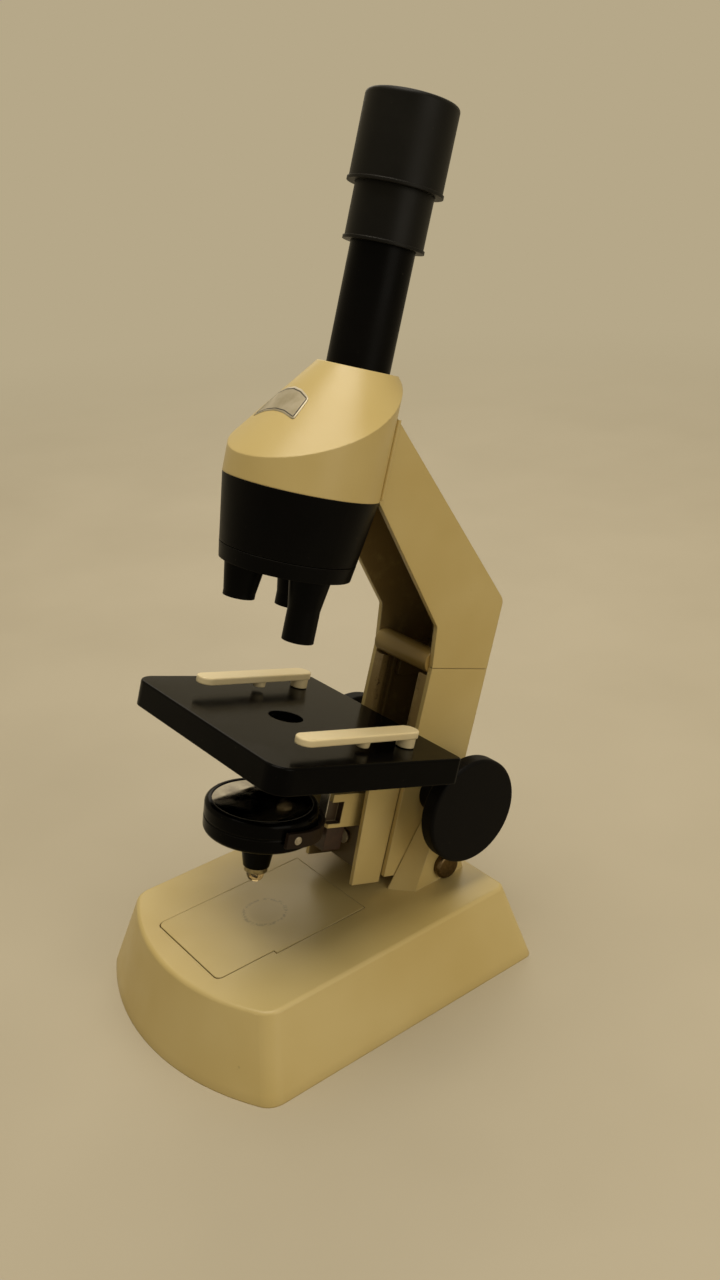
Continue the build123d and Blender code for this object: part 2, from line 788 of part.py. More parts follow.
# Stage with its skirt, ribs and clips
stage_middle = (0, (stage_front + stage_rear) / 2)
stage_length = stage_rear - stage_front

along_optics = Axis(origin=at(0, 0, 0), direction=optics.z_dir)

with BuildPart() as stage:
    with BuildSketch(level(-stage_thickness)) as outline:
        with Locations(stage_middle):
            Rectangle(2 * stage_half_width, stage_length)
        fillet(outline.vertices().group_by(Axis.Y)[0], stage_corner)
        fillet(outline.vertices().group_by(Axis.Y)[-1], stage_corner / 3)
    extrude(amount=stage_thickness)
    fillet(stage.faces().sort_by(along_optics)[-1].edges(), stage_edge_round)
    with BuildSketch(level(-stage_thickness)) as hollow:
        with Locations(stage_middle):
            Rectangle(2 * (stage_half_width - stage_wall), stage_length - 2 * stage_wall)
        fillet(hollow.vertices(), stage_corner / 3)
    extrude(amount=stage_thickness - stage_plate, mode=Mode.SUBTRACT)
    # A collar round the aperture, two ribs and the bosses for the bracket's screws
    with BuildSketch(level(-stage_thickness)):
        Circle(aperture_radius + stage_wall)
        with Locations(*stage_screw_places):
            Circle(stage_boss_radius)
        with GridLocations(2 * (bracket_half_width + stage_wall), 1, 2, 1):
            with Locations(stage_middle):
                Rectangle(stage_wall / 2, stage_length - stage_wall)
    extrude(amount=stage_thickness - stage_plate / 2)
    with BuildSketch(level(-stage_thickness)):
        Circle(aperture_radius)
        with Locations(*stage_screw_places):
            Circle(small_screw_radius)
    extrude(amount=stage_thickness - stage_plate, mode=Mode.SUBTRACT)
    with BuildSketch(level(-stage_plate - 1)):
        Circle(aperture_radius)
        with Locations(*[(sign * clip_pivot[0], clip_pivot[1]) for sign in (-1, 1)]):
            Circle(clip_pin_radius)
    extrude(amount=stage_plate + 2, mode=Mode.SUBTRACT)
keep(stage, "stage")

with BuildPart() as clip_pins:
    with BuildSketch(level(-stage_plate - 1)):
        with Locations(*[(sign * clip_pivot[0], clip_pivot[1]) for sign in (-1, 1)]):
            Circle(clip_pin_radius * 2)
    extrude(amount=1)
    with BuildSketch(level(-stage_plate)):
        with Locations(*[(sign * clip_pivot[0], clip_pivot[1]) for sign in (-1, 1)]):
            Circle(clip_pin_radius)
    extrude(amount=stage_plate + clip_height + clip_thickness / 2)
keep(clip_pins, "clip_pins")


def stage_clip(sign, turn):
    """A stage clip: a flat bar with round ends, a post at the rear and a bump under its middle."""
    x, y = sign * clip_pivot[0], clip_pivot[1]
    direction = -optics.y_dir * cos(radians(turn)) + optics.x_dir * sin(radians(turn))
    bar = Plane(origin=at(x, y, 0), x_dir=direction, z_dir=optics.z_dir)
    reach = clip_length / 2 - clip_width / 2
    with BuildPart() as clip:
        with BuildSketch(bar.offset(clip_height)):
            with Locations((reach, 0)):
                SlotOverall(clip_length, clip_width)
        extrude(amount=clip_thickness)
        fillet(clip.faces().sort_by(along_optics)[-1].edges(), clip_round)
        with BuildSketch(bar.offset(body_gap)):
            Circle(clip_post_radius)
        extrude(amount=clip_height)
        with BuildSketch(bar.offset(clip_bump_bottom)):
            with Locations((clip_bump_reach, 0)):
                Circle(clip_bump_radius)
        extrude(amount=clip_height - clip_bump_bottom + 0.5, taper=-8)
        with BuildSketch(bar.offset(body_gap)):
            Circle(clip_pin_radius + running_gap)
        extrude(amount=clip_height + clip_thickness / 2, mode=Mode.SUBTRACT)
    return clip


keep(stage_clip(1, near_clip_turn), "stage_clip_right")
keep(stage_clip(-1, far_clip_turn), "stage_clip_left")

# Stage bracket: a channel that is open towards the user
bracket_top = -stage_thickness
bracket_rear = arm_front - body_gap
bracket_inner = bracket_half_width - bracket_wall
bracket_open = bracket_front_top - bracket_open_reach

with BuildPart() as stage_bracket:
    with BuildSketch(side(0)):
        Polygon((bracket_front_bottom, bracket_bottom), (bracket_rear, bracket_bottom),
                (bracket_rear, bracket_top), (bracket_front_top, bracket_top), align=None)
    extrude(amount=bracket_half_width, both=True)
    with BuildSketch(side(0)):
        Polygon((bracket_open, bracket_bottom - 1), (bracket_rear - bracket_wall, bracket_bottom - 1),
                (bracket_rear - bracket_wall, bracket_top - bracket_floor),
                (bracket_open, bracket_top - bracket_floor), align=None)
    extrude(amount=bracket_inner, both=True, mode=Mode.SUBTRACT)
    with BuildSketch(level(bracket_top - bracket_floor - 1)):
        with Locations(*stage_screw_places):
            Circle(small_screw_radius)
    extrude(amount=bracket_floor + 2, mode=Mode.SUBTRACT)
    with BuildSketch(facing(bracket_rear + 1)):
        with Locations(*bracket_screw_places, lamp_screw_place):
            Circle(small_screw_radius)
    extrude(amount=bracket_wall + 2, mode=Mode.SUBTRACT)
keep(stage_bracket, "stage_bracket")

stage_screws = cross_screw(stage_screw_places, level(bracket_top - bracket_floor), 1,
                           bracket_floor + stage_thickness - stage_plate)
keep(stage_screws, "stage_screws")
bracket_screws = cross_screw(bracket_screw_places, facing(bracket_rear - bracket_wall), -1, bracket_wall + 3)
keep(bracket_screws, "bracket_screws")

# Slide: a tongue between the housing's lips and a wider plate behind them
rack_half_width = gear_width / 2
rack_face = rack_pitch_line - rack_dedendum * gear_module
rack_seat = rack_face - rack_base
tooth_pitch = pi * gear_module

with BuildPart() as stage_slide:
    with BuildSketch(level(slide_bottom)):
        with Locations((0, (bracket_rear + slide_front) / 2)):
            Rectangle(2 * (lip_inner - body_gap), slide_front - bracket_rear)
        with Locations((0, (slide_front + slide_rear) / 2)):
            Rectangle(2 * (arm_inner - body_gap), slide_thickness)
        with Locations((0, (rack_seat + slide_rear) / 2)):
            Rectangle(2 * rack_half_width, slide_rear - rack_seat, mode=Mode.SUBTRACT)
    extrude(amount=slide_top - slide_bottom)
    with BuildSketch(facing(bracket_rear)):
        with Locations(*bracket_screw_places):
            Circle(small_screw_radius)
    extrude(amount=-3, mode=Mode.SUBTRACT)
keep(stage_slide, "stage_slide")

with BuildPart() as focus_rack:
    with BuildSketch(side(0)):
        Polygon((rack_seat, slide_bottom), (rack_face, slide_bottom), (rack_face, slide_top),
                (rack_seat, slide_top), align=None)
        slope = tan(radians(pressure_angle))
        half_pitch = (tooth_pitch / 2 - gear_backlash) / 2
        foot = half_pitch + rack_dedendum * gear_module * slope
        tip = half_pitch - rack_addendum * gear_module * slope
        rack_tip = rack_pitch_line + rack_addendum * gear_module
        first = -int((shaft_height - slide_bottom - foot) / tooth_pitch - 0.5) - 1
        last = int((slide_top - shaft_height - foot) / tooth_pitch - 0.5)
        for step in range(first, last + 1):
            centre = shaft_height + (step + 0.5) * tooth_pitch
            Polygon((rack_face - 0.1, centre - foot), (rack_tip, centre - tip), (rack_tip, centre + tip),
                    (rack_face - 0.1, centre + foot), align=None)
    extrude(amount=rack_half_width, both=True)
keep(focus_rack, "focus_rack")


# Pinion with involute flanks
def involute(radius, base):
    """The involute's angle at a radius, for a base circle."""
    pressure = acos(base / radius)
    return tan(pressure) - pressure


pinion_base = pinion_pitch * cos(radians(pressure_angle))
pinion_tip = pinion_pitch + pinion_addendum * gear_module
pinion_root = pinion_pitch - pinion_dedendum * gear_module
tooth_space = (pi * gear_module / 2 - gear_backlash) / (2 * pinion_pitch)
tooth_angle = tooth_space + involute(pinion_pitch, pinion_base)
flank_start = max(pinion_base, pinion_root)


def flank(sign):
    """Points along one flank, from the root to the tip."""
    radii = [flank_start + k / 3 * (pinion_tip - flank_start) for k in range(4)]
    angles = [sign * (tooth_angle - involute(r, pinion_base)) for r in radii]
    root_angle = sign * tooth_angle * pinion_waist
    points = [(pinion_root * 0.97 * cos(root_angle), pinion_root * 0.97 * sin(root_angle))]
    return points + [(r * cos(a), r * sin(a)) for r, a in zip(radii, angles)]


with BuildPart() as pinion:
    with BuildSketch(side(0)):
        with Locations(shaft_place):
            Circle(pinion_root)
            with PolarLocations(0, pinion_teeth):
                Polygon(*flank(-1), *flank(1)[::-1], align=None)
            Circle(shaft_radius, mode=Mode.SUBTRACT)
    extrude(amount=rack_half_width, both=True)
keep(pinion, "pinion")

with BuildPart() as focus_shaft:
    with BuildSketch(side(0)):
        with Locations(shaft_place):
            Circle(shaft_radius)
    extrude(amount=knob_bore_end, both=True)
keep(focus_shaft, "focus_shaft")

knob_inner_face = knob_outer_face - knob_thickness


def focus_knob(sign):
    """A focus knob: a wide disc with rounded rims on a long hub."""
    centre = at(0, *shaft_place)
    section = Plane(origin=centre, x_dir=(1, 0, 0), z_dir=-optics.y_dir)
    with BuildPart() as knob:
        with BuildSketch(section) as outline:
            Polygon(*[(sign * x, r) for x, r in (
                (knob_hub_start, shaft_radius), (knob_hub_start, knob_hub_radius),
                (knob_inner_face, knob_hub_radius), (knob_inner_face, knob_radius),
                (knob_outer_face, knob_radius), (knob_outer_face, 0), (knob_bore_end, 0),
                (knob_bore_end, shaft_radius))], align=None)
        revolve(axis=cross_axis(*shaft_place))
        fillet(knob.edges().filter_by(GeomType.CIRCLE).group_by(SortBy.LENGTH)[-1], knob_round)
    return knob


keep(focus_knob(1), "focus_knob_right")
keep(focus_knob(-1), "focus_knob_left")

# Inclination pivot
with BuildPart() as pivot_bolt:
    bolt_seat = cheek_inner + cheek_thickness
    with BuildSketch(Plane.YZ):
        with Locations((0, pivot_height)):
            Circle(pivot_bolt_radius)
    extrude(amount=bolt_seat + pivot_head_height, both=True)
    with BuildSketch(Plane.YZ.offset(bolt_seat)):
        with Locations((0, pivot_height)):
            Circle(pivot_head_radius)
    extrude(amount=pivot_head_height)
    fillet(pivot_bolt.faces().sort_by(Axis.X)[-1].edges(), pivot_head_height / 2)
keep(pivot_bolt, "pivot_bolt")

with BuildPart() as pivot_nut:
    with BuildSketch(Plane.YZ.offset(-bolt_seat)):
        with Locations((0, pivot_height)):
            RegularPolygon(pivot_nut_radius, 6)
            Circle(pivot_bolt_radius, mode=Mode.SUBTRACT)
    extrude(amount=-pivot_head_height)
keep(pivot_nut, "pivot_nut")

with BuildPart() as pivot_spacer:
    with BuildSketch(side(0)):
        with Locations((pivot_back, -pivot_down)):
            Circle(pivot_bolt_radius + arm_wall)
            Circle(pivot_bolt_radius + running_gap, mode=Mode.SUBTRACT)
    extrude(amount=arm_inner, both=True)
keep(pivot_spacer, "pivot_spacer")

# Lamp and mirror unit
drum_lean_angle = radians(tilt - drum_lean)
lamp_origin = at(0, *lamp_pivot)
drum_plane = Plane(origin=lamp_origin, x_dir=(1, 0, 0), z_dir=(0, sin(drum_lean_angle), cos(drum_lean_angle)))
drum_axis = Axis(origin=lamp_origin, direction=drum_plane.z_dir)
drum_section = Plane(origin=lamp_origin, x_dir=(1, 0, 0), z_dir=-drum_plane.y_dir)
half_drum = drum_height / 2
boss_end = -half_drum - lamp_boss_height


def drum_side(x):
    """A sketch plane across the lamp's tilting axis."""
    return Plane(origin=lamp_origin + Vector(x, 0, 0), x_dir=drum_plane.y_dir, z_dir=(1, 0, 0))


def drum_turned(points):
    """Turns a closed profile about the drum's own axis."""
    with BuildPart() as body:
        with BuildSketch(drum_section):
            Polygon(*points, align=None)
        revolve(axis=drum_axis)
    return body


with BuildPart() as lamp_drum:
    with BuildSketch(drum_section) as outline:
        Polygon((0, -half_drum), (drum_radius, -half_drum), (drum_radius, half_drum),
                (mirror_radius, half_drum), (mirror_radius, half_drum - mirror_thickness),
                (0, half_drum - mirror_thickness), align=None)
        for height in (-half_drum, half_drum):
            fillet(outline.vertices().sort_by_distance((drum_radius, height))[0], drum_round)
    revolve(axis=drum_axis)
    with BuildSketch(drum_section):
        Polygon((0, -half_drum + 1), (lamp_boss_radius, -half_drum + 1),
                (lamp_boss_radius, -half_drum - lamp_boss_shoulder),
                (lamp_boss_tip_radius, boss_end), (0, boss_end), align=None)
    revolve(axis=drum_axis)
    # A ring line round the rim, where the mirror's bezel meets the drum
    with BuildSketch(drum_section):
        with Locations((drum_radius + drum_groove_radius / 2, 0)):
            Circle(drum_groove_radius)
    revolve(axis=drum_axis, mode=Mode.SUBTRACT)
    with BuildSketch(drum_plane.offset(boss_end)):
        Circle(collar_radius)
    extrude(amount=collar_height, mode=Mode.SUBTRACT)
    for sign in (-1, 1):
        with BuildSketch(drum_side(sign * drum_pin_start)):
            Circle(drum_pin_radius)
        extrude(amount=sign * drum_radius, mode=Mode.SUBTRACT)
keep(lamp_drum, "lamp_drum")

keep(drum_turned([(0, half_drum - mirror_thickness), (mirror_radius, half_drum - mirror_thickness),
                  (mirror_radius, half_drum - 0.3), (0, half_drum - 0.3)]), "mirror")

collar_bottom = boss_end - collar_height
bulb_neck = bulb_radius - 1.0
bulb_tip = collar_bottom - bulb_length
keep(drum_turned([(bulb_neck, boss_end + collar_height), (collar_radius, boss_end + collar_height),
                  (collar_radius, collar_bottom), (bulb_neck, collar_bottom)]), "bulb_collar")

with BuildPart() as bulb:
    with BuildSketch(drum_section):
        with BuildLine():
            Line((0, boss_end + collar_height), (bulb_neck, boss_end + collar_height))
            Line((bulb_neck, boss_end + collar_height), (bulb_neck, collar_bottom))
            Line((bulb_neck, collar_bottom), (bulb_radius, collar_bottom))
            Line((bulb_radius, collar_bottom), (bulb_radius, bulb_tip + bulb_radius))
            ThreePointArc((bulb_radius, bulb_tip + bulb_radius),
                          (bulb_radius * sin(pi / 4), bulb_tip + bulb_radius * (1 - cos(pi / 4))),
                          (0, bulb_tip))
            Line((0, bulb_tip), (0, boss_end + collar_height))
        make_face()
    revolve(axis=drum_axis)
keep(bulb, "bulb")

yoke_outer = yoke_inner + yoke_thickness
with BuildPart() as drum_pins:
    for sign in (-1, 1):
        with BuildSketch(drum_side(sign * drum_pin_start)):
            Circle(drum_pin_radius)
        extrude(amount=sign * (yoke_outer - drum_pin_start))
keep(drum_pins, "drum_pins")

lamp_y, lamp_n = lamp_pivot
with BuildPart() as lamp_yoke:
    with BuildSketch(level(lamp_n)):
        with Locations((0, lamp_y)):
            Circle(yoke_outer)
        with Locations((0, lamp_y - yoke_outer)):
            Rectangle(2 * yoke_outer, 2 * yoke_outer, mode=Mode.SUBTRACT)
        with Locations((0, lamp_y - yoke_reach / 2)):
            Rectangle(2 * yoke_outer, yoke_reach)
            Rectangle(2 * yoke_inner, yoke_reach, mode=Mode.SUBTRACT)
        with Locations((0, lamp_y)):
            Circle(yoke_inner, mode=Mode.SUBTRACT)
    extrude(amount=yoke_height / 2, both=True)
    # A tongue holds the yoke in the lamp bracket
    with BuildSketch(level(lamp_n)):
        with Locations(((tongue_left + tongue_right) / 2, (lamp_y + yoke_inner + 0.4 + tongue_end) / 2)):
            Rectangle(tongue_right - tongue_left, tongue_end - lamp_y - yoke_inner - 0.4)
    extrude(amount=tongue_height / 2, both=True)
    with BuildSketch(side(0)):
        with Locations(lamp_pivot):
            Circle(drum_pin_radius + running_gap)
    extrude(amount=yoke_outer + 1, both=True, mode=Mode.SUBTRACT)
keep(lamp_yoke, "lamp_yoke")

web_front = bracket_rear - bracket_wall
with BuildPart() as lamp_bracket:
    with BuildSketch(side(0)):
        Polygon((lamp_block_front, lamp_block_bottom), (web_front, lamp_block_bottom),
                (web_front, lamp_block_top), (lamp_block_front, lamp_block_top), align=None)
    extrude(amount=lamp_block_half_width, both=True)
    with BuildSketch(side(lamp_block_half_width + 1)):
        Polygon((pocket[0], pocket[2]), (pocket[1], pocket[2]), (pocket[1], pocket[3]),
                (pocket[0], pocket[3]), align=None)
    extrude(amount=-pocket_depth - 1, mode=Mode.SUBTRACT)
    with BuildSketch(level(lamp_n)):
        with Locations(((tongue_left + tongue_right) / 2, tongue_end / 2)):
            Rectangle(tongue_right - tongue_left, tongue_end)
    extrude(amount=tongue_height / 2, both=True, mode=Mode.SUBTRACT)
    with BuildSketch(facing(web_front + 1)):
        with Locations(lamp_screw_place):
            Circle(small_screw_radius)
    extrude(amount=web_front, mode=Mode.SUBTRACT)
keep(lamp_bracket, "lamp_bracket")
lamp_screw = cross_screw([lamp_screw_place], facing(lamp_block_front), -1, bracket_rear - lamp_block_front)
keep(lamp_screw, "lamp_screw")

with BuildPart() as lamp_insulator:
    with BuildSketch(side(0)):
        Polygon((insulator_front, insulator_bottom), (insulator_rear, insulator_bottom),
                (insulator_rear, lamp_block_bottom), (insulator_front, lamp_block_bottom), align=None)
    extrude(amount=insulator_half_width, both=True)
    fillet(lamp_insulator.faces().sort_by(along_optics)[0].edges(), 1.0)
keep(lamp_insulator, "lamp_insulator")

with BuildPart() as lamp_contact_strip:
    with BuildSketch(side(strip_left)):
        Polygon((lamp_block_front, strip_bottom), (lamp_block_front, strip_top),
                (lamp_block_front - 1.4, strip_top + 1.6), (lamp_block_front - 1.8, strip_top + 1.4),
                (lamp_block_front - contact_thickness, strip_top - 0.2),
                (lamp_block_front - contact_thickness, strip_bottom), align=None)
    extrude(amount=strip_right - strip_left)
keep(lamp_contact_strip, "lamp_contact_strip")

with BuildPart() as tension_washers:
    for sign in (-1, 1):
        with BuildSketch(side(sign * knob_hub_start)):
            with Locations(shaft_place):
                Circle(washer_radius)
                Circle(shaft_radius, mode=Mode.SUBTRACT)
        extrude(amount=-sign * washer_thickness)
keep(tension_washers, "tension_washers")

os.makedirs("parts", exist_ok=True)
for name, piece in pieces.items():
    export_step(piece, f"parts/{name}.step")
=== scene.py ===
# %% [markdown]
# # A student microscope in moulded plastic
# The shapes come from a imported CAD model, so this lesson is about finishes: yellowed
# cream plastic, satin black plastic, plated metal and glass, and the few thin things
# that are easier to draw here than in CAD. Everything is in metres, with Z up.

# %% Load the model
from math import cos, pi, radians, sin, sqrt

import bmesh
import bpy
from mathutils import Matrix, Vector


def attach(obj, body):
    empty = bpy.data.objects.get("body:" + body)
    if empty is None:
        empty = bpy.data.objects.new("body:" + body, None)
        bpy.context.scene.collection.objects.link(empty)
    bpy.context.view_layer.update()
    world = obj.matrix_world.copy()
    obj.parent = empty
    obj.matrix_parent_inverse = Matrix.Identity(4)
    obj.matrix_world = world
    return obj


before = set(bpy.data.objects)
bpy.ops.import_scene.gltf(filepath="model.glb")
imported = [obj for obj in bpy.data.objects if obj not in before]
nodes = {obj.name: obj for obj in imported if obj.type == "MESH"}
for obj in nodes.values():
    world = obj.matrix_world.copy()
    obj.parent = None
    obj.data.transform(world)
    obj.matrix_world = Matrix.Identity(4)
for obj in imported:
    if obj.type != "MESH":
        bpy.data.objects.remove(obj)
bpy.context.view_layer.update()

# %% [markdown]
# ## Two frames
# The table is level, but most of this microscope leans back with its arm. Its own frame
# has x to the right, y backwards from the optical axis and n along that axis, from the
# top of the stage. Writing the leaning pieces in that frame keeps their numbers plain.

# %% The optical frame
LEAN = radians(18.9)
PIVOT = Vector((0, 0.0391, 0.0349))
BACK = Vector((0, cos(LEAN), -sin(LEAN)))
ALONG = Vector((0, sin(LEAN), cos(LEAN)))
OPTICS_ORIGIN = PIVOT - BACK * 0.0693 + ALONG * 0.0513


def leaning(x, y, n):
    """A point of the optical frame, given in millimetres, in the scene."""
    return OPTICS_ORIGIN + Vector((x / 1000, 0, 0)) + BACK * (y / 1000) + ALONG * (n / 1000)


print("optical frame starts at", [round(v, 4) for v in leaning(0, 0, 0)])

# %% [markdown]
# ## The camera
# A photograph fixes the camera better than taste does. Its height, turn, tilt and roll
# were worked out from straight edges and round rims whose real shape is known. Blender
# measures the focal length against the picture's long side when the fit is automatic.

# %% The camera
PICTURE_LONG_SIDE = 1280
FOCAL_PIXELS = 1236.7
turn, down, roll = radians(53.18), radians(24.36), radians(-3.11)
forward = Vector((-sin(turn) * cos(down), cos(turn) * cos(down), -sin(down)))
level_right = Vector((cos(turn), sin(turn), 0))
level_up = level_right.cross(forward)
right = level_right * cos(roll) + level_up * sin(roll)
up = level_up * cos(roll) - level_right * sin(roll)
camera_data = bpy.data.cameras.new("camera")
camera_data.sensor_width = 36
camera_data.lens = FOCAL_PIXELS / PICTURE_LONG_SIDE * camera_data.sensor_width
camera = bpy.data.objects.new("camera", camera_data)
camera.matrix_world = Matrix((
    (right.x, up.x, -forward.x, 0.32075),
    (right.y, up.y, -forward.y, -0.21606),
    (right.z, up.z, -forward.z, 0.30568),
    (0, 0, 0, 1),
))
bpy.context.scene.collection.objects.link(camera)
bpy.context.scene.camera = camera
print("lens", round(camera_data.lens, 2), "mm")

# %% [markdown]
# ## Helpers for materials
# Colours are picked as sRGB hex values, the way a paint chart or a picture gives them,
# and a shader wants linear light, so one function turns the one into the other. A second
# small function adds a shader node together with its settings and links.


# %% Colour and node helpers
def linear(code, alpha=1.0):
    """An sRGB hex colour as the linear values that a shader wants."""
    parts = [int(code[i:i + 2], 16) / 255 for i in (0, 2, 4)]
    return tuple(c / 12.92 if c <= 0.04045 else ((c + 0.055) / 1.055) ** 2.4 for c in parts) + (alpha,)


def add_node(tree, kind, settings=None, **inputs):
    """Adds a shader node, sets its properties and fills or links its inputs, i2 being input number 2."""
    node = tree.nodes.new(kind)
    for key, value in (settings or {}).items():
        setattr(node, key, value)
    for key, value in inputs.items():
        by_number = key[0] == "i" and key[1:].isdigit()
        socket = node.inputs[int(key[1:])] if by_number else node.inputs[key.replace("_", " ")]
        if isinstance(value, bpy.types.NodeSocket):
            tree.links.new(value, socket)
        else:
            socket.default_value = value
    return node


def new_material(name):
    """A material with an empty Principled shader, and the object's own coordinates."""
    material = bpy.data.materials.new(name)
    material.use_nodes = True
    tree = material.node_tree
    place = add_node(tree, "ShaderNodeTexCoord").outputs["Object"]
    return material, tree, tree.nodes["Principled BSDF"], place


def ramp(tree, value, stops):
    """A colour ramp over a value, from a list of (place, colour)."""
    node = add_node(tree, "ShaderNodeValToRGB", Fac=value)
    bar = node.color_ramp
    while len(bar.elements) < len(stops):
        bar.elements.new(0.5)
    for element, (position, colour) in zip(bar.elements, stops):
        element.position = position
        element.color = colour
    return node.outputs["Color"]


def grey(level):
    """A grey for masks."""
    return (level, level, level, 1)


def per_metre(millimetres):
    """A pattern's scale, for features of that size in millimetres."""
    return 1000 / millimetres


def colour_over(tree, under, stain, mask):
    """Lays one colour over another through a mask, for stains and dirt and for painted light and shade."""
    return add_node(tree, "ShaderNodeMix", {"data_type": "RGBA"}, i0=mask, i6=under, i7=stain).outputs[2]


def smooth_step(tree, value, start, finish):
    """0 before start and 1 after finish, in metres, or the other way round."""
    step = add_node(tree, "ShaderNodeMapRange", {"interpolation_type": "SMOOTHSTEP"}, Value=value,
                    From_Min=start, From_Max=finish)
    return step.outputs["Result"]


def times(tree, *masks):
    """Masks multiplied together."""
    product = masks[0]
    for mask in masks[1:]:
        product = add_node(tree, "ShaderNodeMath", {"operation": "MULTIPLY"}, i0=product, i1=mask).outputs[0]
    return product


# %% [markdown]
# ## Yellowed ABS
# The base, arm and head are injection-moulded ABS, once cream and now yellowed by light.
# Moulded ABS has an IOR near 1.53 and a low sheen from its polished tool, with a faint
# orange peel. Age doesn't darken it evenly, so a broad soft pattern shifts the colour,
# a finer one leaves dull fingermarks in the gloss, and small specks are dirt. A moulding
# has no knife edges either: the Bevel node rounds the light on each edge, and the angle
# between its normal and the flat one says where an edge is. There the yellow is painted
# paler in patches, as a painted highlight along the edges.


# %% Yellowed ABS
EDGE_ROUND = 0.0006


def rounded_edges(tree, radius=EDGE_ROUND):
    """The rounded normal, and a mask that is 1 on the edges."""
    soft = add_node(tree, "ShaderNodeBevel", {"samples": 6}, Radius=radius).outputs["Normal"]
    flat = add_node(tree, "ShaderNodeNewGeometry").outputs["Normal"]
    turned = add_node(tree, "ShaderNodeVectorMath", {"operation": "DOT_PRODUCT"}, i0=soft, i1=flat).outputs["Value"]
    return soft, smooth_step(tree, turned, 0.985, 0.85)


def yellowed_abs(name, pale, deep, gloss, dirt=0.5, marks=None):
    """Moulded ABS that has yellowed, between a paler and a deeper colour."""
    material, tree, shader, place = new_material(name)
    broad = add_node(tree, "ShaderNodeTexNoise", Vector=place, Scale=per_metre(70), Detail=3.0, Roughness=0.55)
    tone = ramp(tree, broad.outputs["Fac"], [(0.34, linear(deep)), (0.66, linear(pale))])
    specks = add_node(tree, "ShaderNodeTexNoise", Vector=place, Scale=per_metre(4), Detail=6.0, Roughness=0.75)
    speck_mask = ramp(tree, specks.outputs["Fac"], [(0.69, grey(0)), (0.78, grey(dirt))])
    tone = colour_over(tree, tone, linear("7A6238"), speck_mask)
    # A part's own marks go on here: real stains and grease, and painted shade in its hollows
    if marks:
        tone = marks(tree, tone, place)
    soft, edge = rounded_edges(tree)
    # Paler yellow on the edges, in patches: a painted highlight
    edge_highlight = times(tree, edge, smooth_step(tree, broad.outputs["Fac"], 0.35, 0.6))
    tone = colour_over(tree, tone, linear("E2CD98"), times(tree, edge_highlight, 0.45))
    tree.links.new(tone, shader.inputs["Base Color"])
    smears = add_node(tree, "ShaderNodeTexNoise", Vector=place, Scale=per_metre(22), Detail=4.0, Roughness=0.6)
    dull = add_node(tree, "ShaderNodeMapRange", Value=smears.outputs["Fac"], From_Min=0.35, From_Max=0.7,
                    To_Min=gloss - 0.06, To_Max=gloss + 0.10)
    tree.links.new(dull.outputs["Result"], shader.inputs["Roughness"])
    shader.inputs["IOR"].default_value = 1.53
    shader.inputs["Specular IOR Level"].default_value = 0.4
    peel = add_node(tree, "ShaderNodeTexNoise", Vector=place, Scale=per_metre(1.6), Detail=2.0)
    bump = add_node(tree, "ShaderNodeBump", Strength=0.05, Distance=0.0003, Height=peel.outputs["Fac"], Normal=soft)
    tree.links.new(bump.outputs["Normal"], shader.inputs["Normal"])
    return material


HOUSING_PALE, HOUSING_DEEP = "D0BB7F", "C4AC6B"
housing_plastic = yellowed_abs("yellowed_abs_housing", HOUSING_PALE, HOUSING_DEEP, 0.36)
clip_plastic = yellowed_abs("cream_abs_clips", "EBDCB2", "E0CC9A", 0.36, dirt=0.2)
print("cream plastics made")

# %% [markdown]
# ## Marks of use, and painted shade
# A cup or a slide box once stood on the deck and left a faint ring, and old grease has
# dried in dark streaks along the channel's front lips, with shade painted at their inner
# edges. The brown inside the channel, in the hollow of the stage's bracket and in the
# pocket of the lamp's block is painted shade. All are masks worked out from places on the
# part, in the object's own coordinates, so they stay put when the arm or the stage moves.


# %% Ring on the deck, grease, and painted shade in the hollows
RING_CENTRE = Vector((-0.0024, -0.0245, 0.0292))
RING_RADIUS = 0.0077


def deck_ring(tree, tone, place):
    """A faint dirty ring, broken by noise, and a darker foot where the base meets the bench."""
    apart = add_node(tree, "ShaderNodeVectorMath", {"operation": "DISTANCE"}, i0=place, i1=RING_CENTRE)
    distance = apart.outputs["Value"]
    line = times(tree, smooth_step(tree, distance, RING_RADIUS - 0.0012, RING_RADIUS),
                 smooth_step(tree, distance, RING_RADIUS + 0.0012, RING_RADIUS))
    patchy = add_node(tree, "ShaderNodeTexNoise", Vector=place, Scale=per_metre(1.2), Detail=4.0).outputs["Fac"]
    broken = smooth_step(tree, patchy, 0.38, 0.62)
    inside = times(tree, smooth_step(tree, distance, RING_RADIUS, RING_RADIUS - 0.003), 0.12)
    tone = colour_over(tree, tone, linear("6E5A34"), times(tree, line, broken, 0.5))
    tone = colour_over(tree, tone, linear("8A7546"), inside)
    height = add_node(tree, "ShaderNodeSeparateXYZ", Vector=place).outputs["Z"]
    return colour_over(tree, tone, linear("8F7848"), times(tree, smooth_step(tree, height, 0.004, 0.0), 0.2))


def leaning_place(tree, place):
    """The shaded point in the optical frame, in metres: x, y and n."""
    from_axis = add_node(tree, "ShaderNodeVectorMath", {"operation": "SUBTRACT"}, i0=place, i1=OPTICS_ORIGIN)
    offset = from_axis.outputs["Vector"]
    backwards = add_node(tree, "ShaderNodeVectorMath", {"operation": "DOT_PRODUCT"}, i0=offset, i1=BACK)
    upwards = add_node(tree, "ShaderNodeVectorMath", {"operation": "DOT_PRODUCT"}, i0=offset, i1=ALONG)
    across = add_node(tree, "ShaderNodeSeparateXYZ", Vector=place).outputs["X"]
    return across, backwards.outputs["Value"], upwards.outputs["Value"]


